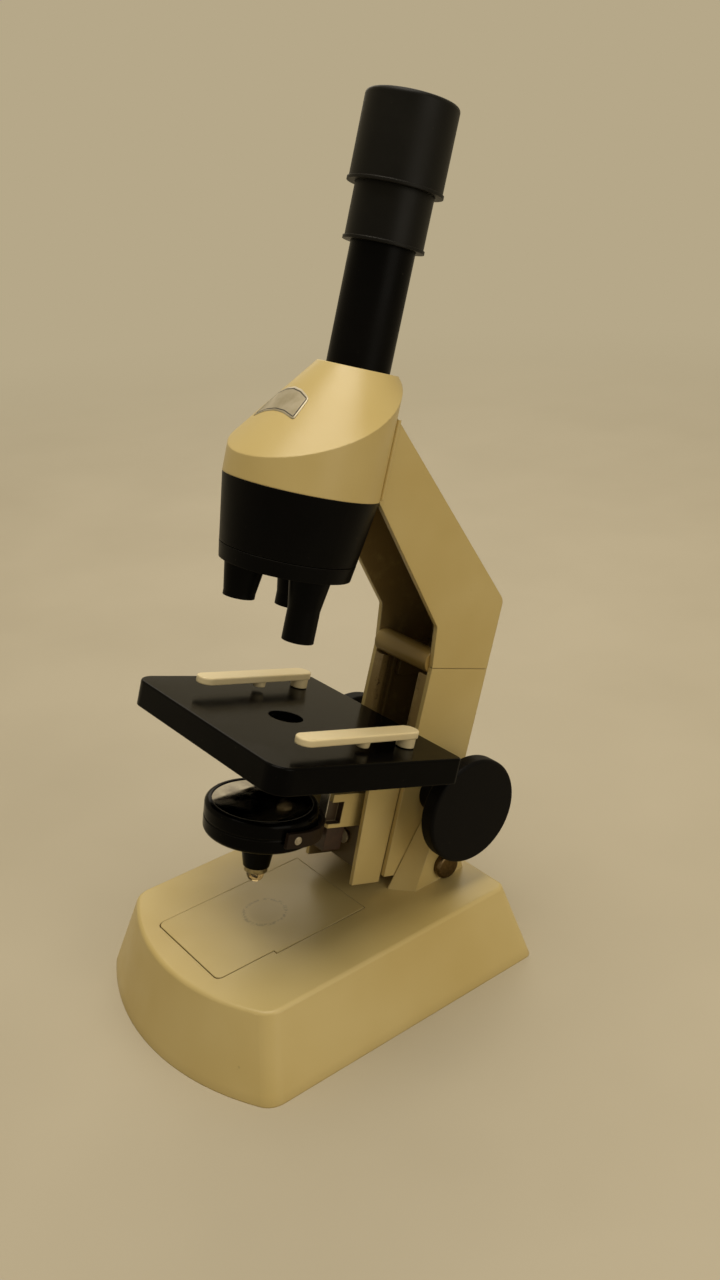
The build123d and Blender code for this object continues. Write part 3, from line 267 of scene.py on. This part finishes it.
def channel_shade_and_grease(tree, tone, place):
    """Brown painted shade inside the arm's channel, and streaks along the front lips: grease, with painted shade at
    their inner edges.
    """
    across, y, n = leaning_place(tree, place)
    across = add_node(tree, "ShaderNodeMath", {"operation": "ABSOLUTE"}, i0=across).outputs[0]
    # The rear wall's inner face lies below this sloping line, and in front of the upright one
    sloping = add_node(tree, "ShaderNodeMath", {"operation": "MULTIPLY_ADD"}, i0=y, i1=REAR_SLOPE, i2=n).outputs[0]
    inside = times(tree, smooth_step(tree, across, 0.0150, 0.0143), smooth_step(tree, y, 0.0755, 0.0747),
                   smooth_step(tree, sloping, REAR_AT_AXIS - 0.0012, REAR_AT_AXIS - 0.0022))
    cloud = add_node(tree, "ShaderNodeTexNoise", Vector=place, Scale=per_metre(9), Detail=5.0, Roughness=0.7)
    # Inside the channel the brown is painted shade, broken up by a cloud
    inside_shade = times(tree, inside, smooth_step(tree, cloud.outputs["Fac"], 0.05, 0.5), 0.8)
    tone = colour_over(tree, tone, linear("7A6136"), inside_shade)
    # Along the lips the dark streaks are grease, with painted shade at the lips' inner edges
    streaks = add_node(tree, "ShaderNodeTexNoise", Vector=place, Scale=per_metre(2.5), Detail=5.0, Roughness=0.8)
    lips = times(tree, smooth_step(tree, across, 0.0128, 0.0108), smooth_step(tree, n, 0.024, 0.016),
                 smooth_step(tree, y, LIP_REAR + 0.002, LIP_REAR),
                 smooth_step(tree, streaks.outputs["Fac"], 0.5, 0.66), 0.75)
    return colour_over(tree, tone, linear("3A2913"), lips)


def bracket_shade(tree, tone, place):
    """Painted shade: brown in the hollow of the bracket under the stage."""
    across, y, n = leaning_place(tree, place)
    across = add_node(tree, "ShaderNodeMath", {"operation": "ABSOLUTE"}, i0=across).outputs[0]
    hollow = times(tree, smooth_step(tree, across, BRACKET_INNER + 0.0001, BRACKET_INNER),
                   smooth_step(tree, y, 0.0225, 0.040), smooth_step(tree, y, BRACKET_REAR, BRACKET_REAR - 0.0005), 0.9)
    # Brown painted shade in the bracket's hollow
    return colour_over(tree, tone, linear("3F2C17"), hollow)


def pocket_shade(tree, tone, place):
    """Painted shade: dark brown in the open pocket at the side of the lamp's block."""
    across, y, n = leaning_place(tree, place)
    pocket = times(tree, smooth_step(tree, across, 0.0089, 0.0086), smooth_step(tree, across, 0.0058, 0.0060),
                   smooth_step(tree, y, 0.0277, 0.0275), smooth_step(tree, n, -0.0299, -0.0300),
                   smooth_step(tree, n, -0.0387, -0.0385), 0.95)
    # Dark brown painted shade in the pocket
    return colour_over(tree, tone, linear("2B1A14"), pocket)


REAR_SLOPE = (0.1138 - 0.0501) / 0.0765
REAR_AT_AXIS = 0.1138
LIP_REAR = 0.0513
BRACKET_INNER, BRACKET_REAR = 0.0128, 0.0478
base_plastic = yellowed_abs("yellowed_abs_base", HOUSING_PALE, HOUSING_DEEP, 0.36, marks=deck_ring)
arm_plastic = yellowed_abs("yellowed_abs_arm", HOUSING_PALE, HOUSING_DEEP, 0.36, marks=channel_shade_and_grease)
bracket_plastic = yellowed_abs("yellowed_abs_bracket", HOUSING_PALE, HOUSING_DEEP, 0.36, marks=bracket_shade)
block_plastic = yellowed_abs("yellowed_abs_lamp_block", HOUSING_PALE, HOUSING_DEEP, 0.36, marks=pocket_shade)
# The slide deep in the channel takes a darker copy of the cream: painted shade, with dirt specks
slide_plastic = yellowed_abs("painted_shade_slide_abs", "8A7446", "6B5630", 0.3, dirt=0.8)
spacer_plastic = yellowed_abs("greasy_spacer_abs", "B8A163", "94793F", 0.34, dirt=0.8)
print("marked plastics made")

# %% [markdown]
# ## Black ABS
# The optics' housings, stage and knobs are black ABS, satin on the tubes and polished on
# the stage. Carbon black leaves only a percent or two of diffuse colour, so the shape is
# told by the soft highlight, and the specular level is kept a little under that of clean
# plastic, because old handled plastic has lost its first gloss. Etched grain stays below
# half a millimetre, and dust lies in broad soft patches.


# %% Black ABS
def black_abs(name, colour, dust_colour, gloss, sheen, grain, grain_depth):
    """Black moulded ABS with etched grain of that size in millimetres."""
    material, tree, shader, place = new_material(name)
    dust = add_node(tree, "ShaderNodeTexNoise", Vector=place, Scale=per_metre(30), Detail=5.0, Roughness=0.65)
    tone = ramp(tree, dust.outputs["Fac"], [(0.38, linear(colour)), (0.8, linear(dust_colour))])
    motes = add_node(tree, "ShaderNodeTexNoise", Vector=place, Scale=per_metre(0.9), Detail=2.0, Roughness=0.5)
    mote_mask = ramp(tree, motes.outputs["Fac"], [(0.76, grey(0)), (0.80, grey(0.35))])
    tone = colour_over(tree, tone, linear("6F6656"), mote_mask)
    soft, edge = rounded_edges(tree, 0.0005)
    # A paler grey on every edge: a painted highlight
    tone = colour_over(tree, tone, linear("2E2B27"), times(tree, edge, 0.5))
    tree.links.new(tone, shader.inputs["Base Color"])
    dull = add_node(tree, "ShaderNodeMapRange", Value=dust.outputs["Fac"], From_Min=0.35, From_Max=0.7,
                    To_Min=gloss - 0.05, To_Max=gloss + 0.1)
    tree.links.new(dull.outputs["Result"], shader.inputs["Roughness"])
    shader.inputs["IOR"].default_value = 1.53
    shader.inputs["Specular IOR Level"].default_value = sheen
    etched = add_node(tree, "ShaderNodeTexNoise", Vector=place, Scale=per_metre(grain), Detail=3.0)
    bump = add_node(tree, "ShaderNodeBump", Strength=0.3, Distance=grain_depth, Height=etched.outputs["Fac"],
                    Normal=soft)
    tree.links.new(bump.outputs["Normal"], shader.inputs["Normal"])
    return material


satin_black = black_abs("satin_black_abs", "050505", "0A0908", 0.36, 0.045, 0.5, 0.00004)
# A lighter copy of the black for the sleeve, cap and eye ring, which sit nearer the lamp: painted light
painted_light_black = black_abs("painted_light_black_abs", "0A0A09", "14130F", 0.42, 0.12, 0.5, 0.00005)
gloss_black = black_abs("gloss_black_abs", "030303", "080706", 0.16, 0.045, 1.2, 0.00001)
brown_black = black_abs("brown_black_moulding", "1B120C", "2A1D14", 0.45, 0.12, 0.6, 0.00004)
matte_black = black_abs("matte_black_abs", "080707", "100E0C", 0.5, 0.06, 0.5, 0.00006)
print("black plastics made")

# %% [markdown]
# ## Metals, glass and small parts
# Plated screws have gone dull, the pivot bolt's round head is browned, the bulb's collar
# is thin brass, and the contacts are nickel-plated spring steel. A metal keeps the default
# IOR and is told apart by its colour and roughness. Glass is a transmitting shader with an
# IOR near 1.52, and the mirror is glass silvered behind, dulled by a film of dust.


# %% Metals and glass
def metal(name, colour, tarnish, rough, scratch):
    """Plain metal with fine scratches of that spacing in millimetres, and its tarnish."""
    material, tree, shader, place = new_material(name)
    shader.inputs["Metallic"].default_value = 1.0
    marks = add_node(tree, "ShaderNodeTexNoise", Vector=place, Scale=per_metre(scratch), Detail=5.0, Roughness=0.7)
    tone = ramp(tree, marks.outputs["Fac"], [(0.35, linear(colour)), (0.75, linear(tarnish))])
    tree.links.new(tone, shader.inputs["Base Color"])
    spread = add_node(tree, "ShaderNodeMapRange", Value=marks.outputs["Fac"], To_Min=rough - 0.08,
                      To_Max=rough + 0.12)
    tree.links.new(spread.outputs["Result"], shader.inputs["Roughness"])
    soft, edge = rounded_edges(tree, 0.0003)
    tree.links.new(soft, shader.inputs["Normal"])
    return material


def clear_glass(name, tint, rough):
    """Clear glass with a slight tint, and faint wipe marks in its gloss."""
    material, tree, shader, place = new_material(name)
    shader.inputs["Base Color"].default_value = linear(tint)
    wiped = add_node(tree, "ShaderNodeTexNoise", Vector=place, Scale=per_metre(3), Detail=3.0)
    haze = add_node(tree, "ShaderNodeMapRange", Value=wiped.outputs["Fac"], To_Min=rough * 0.5, To_Max=rough * 1.5)
    tree.links.new(haze.outputs["Result"], shader.inputs["Roughness"])
    shader.inputs["IOR"].default_value = 1.52
    shader.inputs["Transmission Weight"].default_value = 1.0
    return material


dull_steel = metal("dull_plated_steel", "B9B2A4", "6B6152", 0.34, 2.5)
browned_steel = metal("browned_steel", "6E5D43", "3E3222", 0.30, 2.0)
nickel_plate = metal("nickel_plated_contact", "E0DCD2", "A8A090", 0.42, 3.0)
collar_brass = metal("thin_brass", "A09472", "625A42", 0.34, 2.0)
tungsten = metal("tungsten_wire", "8F8C86", "5A5853", 0.35, 0.5)
lens_glass = clear_glass("lens_glass", "F2F6F4", 0.02)
bulb_glass = clear_glass("smoked_bulb_glass", "C4AE84", 0.06)

mirror_face, mirror_tree, mirror_shader, mirror_place = new_material("silvered_mirror")
mirror_shader.inputs["Metallic"].default_value = 1.0
mirror_film = add_node(mirror_tree, "ShaderNodeTexNoise", Vector=mirror_place, Scale=per_metre(9), Detail=6.0)
mirror_tone = ramp(mirror_tree, mirror_film.outputs["Fac"], [(0.35, linear("7C7562")), (0.75, linear("5C5342"))])
mirror_tree.links.new(mirror_tone, mirror_shader.inputs["Base Color"])
mirror_dull = add_node(mirror_tree, "ShaderNodeMapRange", Value=mirror_film.outputs["Fac"], From_Min=0.4,
                       From_Max=0.8, To_Min=0.03, To_Max=0.22)
mirror_tree.links.new(mirror_dull.outputs["Result"], mirror_shader.inputs["Roughness"])


def plain_plastic(name, colour, second, rough, patch):
    """Small mouldings and pressed fibre, clouded at that size in millimetres."""
    material, tree, shader, place = new_material(name)
    cloud = add_node(tree, "ShaderNodeTexNoise", Vector=place, Scale=per_metre(patch), Detail=5.0)
    tone = ramp(tree, cloud.outputs["Fac"], [(0.35, linear(colour)), (0.7, linear(second))])
    tree.links.new(tone, shader.inputs["Base Color"])
    shader.inputs["Roughness"].default_value = rough
    shader.inputs["IOR"].default_value = 1.5
    soft, edge = rounded_edges(tree, 0.0003)
    tree.links.new(soft, shader.inputs["Normal"])
    return material


acetal = plain_plastic("acetal_gear_plastic", "D8D4C6", "C4BDA9", 0.45, 8)
phenolic = plain_plastic("brown_phenolic_board", "2E1D13", "3D281A", 0.5, 3)
red_fibre = plain_plastic("vulcanised_fibre", "6A2A1C", "7C3826", 0.6, 2)
print("metals, glass and small plastics made")

# %% [markdown]
# ## Giving each node its finish
# A CAD node's mesh stays as it is, and its look comes from the material in its slot. One
# table says which finish each node takes, and the line after it prints any node that was
# forgotten.


# %% Assign the finishes
finishes = {
    base_plastic: ["base", "battery_cover"],
    arm_plastic: ["arm_lower", "arm_upper"],
    slide_plastic: ["stage_slide"],
    bracket_plastic: ["stage_bracket"],
    block_plastic: ["lamp_bracket"],
    spacer_plastic: ["arm_spacer"],
    housing_plastic: ["head"],
    clip_plastic: ["stage_clip_right", "stage_clip_left"],
    satin_black: ["nose_housing", "turret", "objective_high", "objective_mid", "objective_low", "body_tube"],
    painted_light_black: ["zoom_sleeve", "eyepiece_cap", "eye_lens_ring"],
    gloss_black: ["stage", "lamp_drum"],
    matte_black: ["focus_knob_right", "focus_knob_left"],
    brown_black: ["lamp_yoke"],
    dull_steel: ["arm_screws", "head_screws", "turret_screw", "detent_ball", "clip_pins", "stage_screws",
                 "bracket_screws", "focus_shaft", "pivot_nut", "drum_pins", "lamp_screw"],
    browned_steel: ["pivot_bolt"],
    nickel_plate: ["battery_contact_plate", "battery_springs", "detent_spring", "lamp_contact_strip"],
    collar_brass: ["bulb_collar", "pinion"],
    lens_glass: ["lens_high", "lens_mid", "lens_low", "field_lens", "eye_lens"],
    bulb_glass: ["bulb"],
    mirror_face: ["mirror"],
    acetal: ["focus_rack", "pivot_spacer"],
    phenolic: ["lamp_insulator"],
    red_fibre: ["tension_washers"],
}
for finish, names in finishes.items():
    for name in names:
        nodes[name].data.materials.clear()
        nodes[name].data.materials.append(finish)
unfinished = sorted(set(nodes) - {name for names in finishes.values() for name in names})
print("nodes with no finish:", unfinished)

# %% [markdown]
# ## The bare plate
# A thin foil plate is stuck on the head's cone. It can't be a flat cut-out, because it
# bends with the cone, so its outline is a rounded box drawn in the plate's own flat
# measures, in rings from the edge to the middle, and each point is then laid on the cone.
# The ring between two close outlines becomes the dark printed border. The face is bare.


# %% The plate on the head
CONE_TOP, CONE_TOP_RADIUS, CONE_SLOPE = 120.8, 13.5, 1.27
PLATE_HALF_WIDTH, PLATE_HALF_HEIGHT, PLATE_CORNER = 10.4, 5.3, 1.4
PLATE_THICKNESS = 0.16
PLATE_X, PLATE_Y = -2.7, -24.55
CORNER_STEPS = 6


def rounded_box(inset):
    """Points round a box with rounded corners, drawn in by the inset, in millimetres."""
    radius = max(PLATE_CORNER - inset, 0.05)
    wide, high = PLATE_HALF_WIDTH - inset - radius, PLATE_HALF_HEIGHT - inset - radius
    points = []
    for index, (sx, sy) in enumerate(((1, 1), (-1, 1), (-1, -1), (1, -1))):
        for step in range(CORNER_STEPS + 1):
            angle = (index + step / CORNER_STEPS) * pi / 2
            points.append((sx * max(wide, 0) + radius * cos(angle), sy * max(high, 0) + radius * sin(angle)))
        ends = ((0, 1), (-1, 0), (0, -1), (1, 0))[index]
        for share in (0.25, 0.5, 0.75):
            along = 1 - 2 * share
            x = (sx * along * wide) if ends[1] else ends[0] * (wide + radius)
            y = (sy * along * high) if ends[0] else ends[1] * (high + radius)
            points.append((x, y))
    return points


def on_cone(across, upwards, lift):
    """Lays a point of the flat plate on the head's cone, raised by the lift."""
    share = upwards / PLATE_HALF_HEIGHT
    x = PLATE_X + across * (1 - 0.07 * share)
    arch = 0.35 * max(share, 0) * (1 - (across / PLATE_HALF_WIDTH) ** 2)
    y = PLATE_Y + 0.619 * (upwards + arch) - 0.045 * across * (1 + share)
    radius = sqrt(x * x + y * y)
    height = CONE_TOP - (radius - CONE_TOP_RADIUS) * CONE_SLOPE
    out, rise = CONE_SLOPE / sqrt(1 + CONE_SLOPE ** 2), 1 / sqrt(1 + CONE_SLOPE ** 2)
    return leaning(x + x / radius * out * lift, y + y / radius * out * lift, height + rise * lift)


foil, foil_tree, foil_shader, foil_place = new_material("satin_foil_plate")
foil_cloud = add_node(foil_tree, "ShaderNodeTexNoise", Vector=foil_place, Scale=per_metre(5), Detail=5.0)
foil_tone = ramp(foil_tree, foil_cloud.outputs["Fac"], [(0.35, linear("B9AF97")), (0.7, linear("9F9478"))])
foil_tree.links.new(foil_tone, foil_shader.inputs["Base Color"])
foil_shader.inputs["Metallic"].default_value = 0.35
foil_shader.inputs["Roughness"].default_value = 0.38
border = plain_plastic("printed_border", "2E2A24", "443E34", 0.5, 2)

plate_mesh = bmesh.new()
rings = []
for inset, lift in ((0, 0), (0.05, PLATE_THICKNESS), (0.75, PLATE_THICKNESS), (1.2, PLATE_THICKNESS),
                    (2.2, PLATE_THICKNESS), (3.6, PLATE_THICKNESS), (4.6, PLATE_THICKNESS), (5.2, PLATE_THICKNESS)):
    rings.append([plate_mesh.verts.new(on_cone(x, y, lift)) for x, y in rounded_box(inset)])
for number, (outer, inner) in enumerate(zip(rings, rings[1:])):
    for i in range(len(outer)):
        j = (i + 1) % len(outer)
        face = plate_mesh.faces.new((outer[i], outer[j], inner[j], inner[i]))
        face.material_index = 1 if number == 2 else 0
        face.smooth = number > 0
plate_mesh.faces.new(rings[-1]).smooth = True
plate_mesh.faces.new(rings[0][::-1])
bmesh.ops.recalc_face_normals(plate_mesh, faces=plate_mesh.faces)
plate_data = bpy.data.meshes.new("head_plate")
plate_mesh.to_mesh(plate_data)
plate_mesh.free()
plate_data.materials.append(foil)
plate_data.materials.append(border)
head_plate = bpy.data.objects.new("head_plate", plate_data)
bpy.context.scene.collection.objects.link(head_plate)
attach(head_plate, "limb")
print("plate with", len(plate_data.polygons), "faces")

# %% [markdown]
# ## The bulb's filament
# Behind the glass a coil of tungsten wire hangs between two posts. A curve with a round
# section suits wire: the posts and the coil are one path, and the bevel gives it body.
# The real coil is finer than the render can show, so the wire is drawn a little thick.


# %% Filament in the bulb
DRUM_LEAN = radians(18.9 - 6.9)
DRUM_UP = Vector((0, sin(DRUM_LEAN), cos(DRUM_LEAN)))
DRUM_BACK = Vector((0, cos(DRUM_LEAN), -sin(DRUM_LEAN)))
LAMP_PIVOT = leaning(0, -1.9, -36.6)
COIL_TURNS, COIL_RADIUS, COIL_HALF_WIDTH, COIL_HEIGHT, POST_TOP = 5, 0.3, 1.1, -23.6, -21.0


def in_bulb(x, y, height):
    """A point on the lamp's own axis, in millimetres."""
    return LAMP_PIVOT + Vector((x / 1000, 0, 0)) + DRUM_BACK * (y / 1000) + DRUM_UP * (height / 1000)


wire_points = [in_bulb(-COIL_HALF_WIDTH, 0, POST_TOP), in_bulb(-COIL_HALF_WIDTH, 0, COIL_HEIGHT)]
for step in range(COIL_TURNS * 8 + 1):
    angle = step * pi / 4
    across = (2 * step / (COIL_TURNS * 8) - 1) * (COIL_HALF_WIDTH - 0.2)
    wire_points.append(in_bulb(across, COIL_RADIUS * sin(angle), COIL_HEIGHT + COIL_RADIUS * cos(angle)))
wire_points += [in_bulb(COIL_HALF_WIDTH, 0, COIL_HEIGHT), in_bulb(COIL_HALF_WIDTH, 0, POST_TOP)]
wire = bpy.data.curves.new("bulb_filament", "CURVE")
wire.dimensions = "3D"
wire.bevel_depth = 0.00012
wire.bevel_resolution = 1
spline = wire.splines.new("POLY")
spline.points.add(len(wire_points) - 1)
for point, where in zip(spline.points, wire_points):
    point.co = (*where, 1)
wire.materials.append(tungsten)
filament = bpy.data.objects.new("bulb_filament", wire)
bpy.context.scene.collection.objects.link(filament)
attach(filament, "lamp_unit")
print("filament with", len(wire_points), "points")

# %% [markdown]
# ## Floor, backdrop and light
# The object stands on a plain pale table. Near the object the table is a real surface
# that takes its shadow. Further out it passes, by distance from the object, into the same
# even colour that the room has behind it, so no horizon cuts across the picture from any
# side. That even colour is shown only to the camera and to reflections, and gives the
# object no extra light. The room's light comes mostly from the ceiling. A weaker window
# on the right and the pale wall behind keep the sides open.


# %% Floor and light
BACKGROUND = "B6A889"
TABLE_NEAR, TABLE_FAR, TABLE_HALF_SIZE = 0.45, 1.3, 12


def seen_rays(tree):
    """1 for camera, glossy and transmission rays, and 0 for the rays that light things."""
    rays = add_node(tree, "ShaderNodeLightPath").outputs
    first = add_node(tree, "ShaderNodeMath", {"operation": "MAXIMUM"}, i0=rays["Is Camera Ray"],
                     i1=rays["Is Glossy Ray"]).outputs[0]
    return add_node(tree, "ShaderNodeMath", {"operation": "MAXIMUM"}, i0=first,
                    i1=rays["Is Transmission Ray"]).outputs[0]


table_top, table_tree, table_shader, table_place = new_material("pale_table")
table_cloud = add_node(table_tree, "ShaderNodeTexNoise", Vector=table_place, Scale=per_metre(120), Detail=3.0)
table_tone = ramp(table_tree, table_cloud.outputs["Fac"], [(0.35, linear("B6AC94")), (0.65, linear("BBB199"))])
table_tree.links.new(table_tone, table_shader.inputs["Base Color"])
table_shader.inputs["Roughness"].default_value = 0.6
table_shader.inputs["Specular IOR Level"].default_value = 0.3
table_distance = add_node(table_tree, "ShaderNodeVectorMath", {"operation": "LENGTH"}, i0=table_place)
far_off = smooth_step(table_tree, table_distance.outputs["Value"], TABLE_NEAR, TABLE_FAR)
even = add_node(table_tree, "ShaderNodeEmission", Color=linear(BACKGROUND), Strength=1.0)
table_mix = add_node(table_tree, "ShaderNodeMixShader", Fac=times(table_tree, far_off, seen_rays(table_tree)),
                     i1=table_shader.outputs["BSDF"], i2=even.outputs["Emission"])
table_tree.links.new(table_mix.outputs["Shader"], table_tree.nodes["Material Output"].inputs["Surface"])

table_mesh = bpy.data.meshes.new("table")
reach = TABLE_HALF_SIZE
table_mesh.from_pydata([(-reach, -reach, 0), (reach, -reach, 0), (reach, reach, 0), (-reach, reach, 0)], [],
                       [(0, 1, 2, 3)])
table_mesh.materials.append(table_top)
table = bpy.data.objects.new("table", table_mesh)
bpy.context.scene.collection.objects.link(table)

world = bpy.data.worlds.new("room")
bpy.context.scene.world = world
world.use_nodes = True
room = world.node_tree
room_light = room.nodes["Background"]
room_light.inputs["Color"].default_value = linear("EFE6D4")
room_light.inputs["Strength"].default_value = 0.25
room_seen = add_node(room, "ShaderNodeBackground", Color=linear(BACKGROUND), Strength=1.0)
room_mix = add_node(room, "ShaderNodeMixShader", Fac=seen_rays(room), i1=room_light.outputs["Background"],
                    i2=room_seen.outputs["Background"])
room.links.new(room_mix.outputs["Shader"], room.nodes["World Output"].inputs["Surface"])


def soft_lamp(name, place, aim, size, power, colour):
    """A square soft lamp that points at a place."""
    data = bpy.data.lights.new(name, "AREA")
    data.shape = "SQUARE"
    data.size = size
    data.energy = power
    data.color = linear(colour)[:3]
    lamp = bpy.data.objects.new(name, data)
    lamp.location = place
    lamp.rotation_euler = (Vector(aim) - Vector(place)).to_track_quat("-Z", "Y").to_euler()
    bpy.context.scene.collection.objects.link(lamp)
    return lamp


soft_lamp("ceiling_lamp", (0.0, 0.0, 1.5), (0, 0, 0.1), 1.0, 16.4, "FFF6E6")
soft_lamp("window_right", (1.2, 0.2, 0.5), (0, 0, 0.1), 0.8, 3.7, "FFF6E6")
soft_lamp("pale_wall_behind", (-0.9, 0.7, 0.8), (0, 0, 0.1), 0.9, 3.2, "FFF6E6")
bpy.context.scene.view_settings.view_transform = "Standard"
print("lamps set")
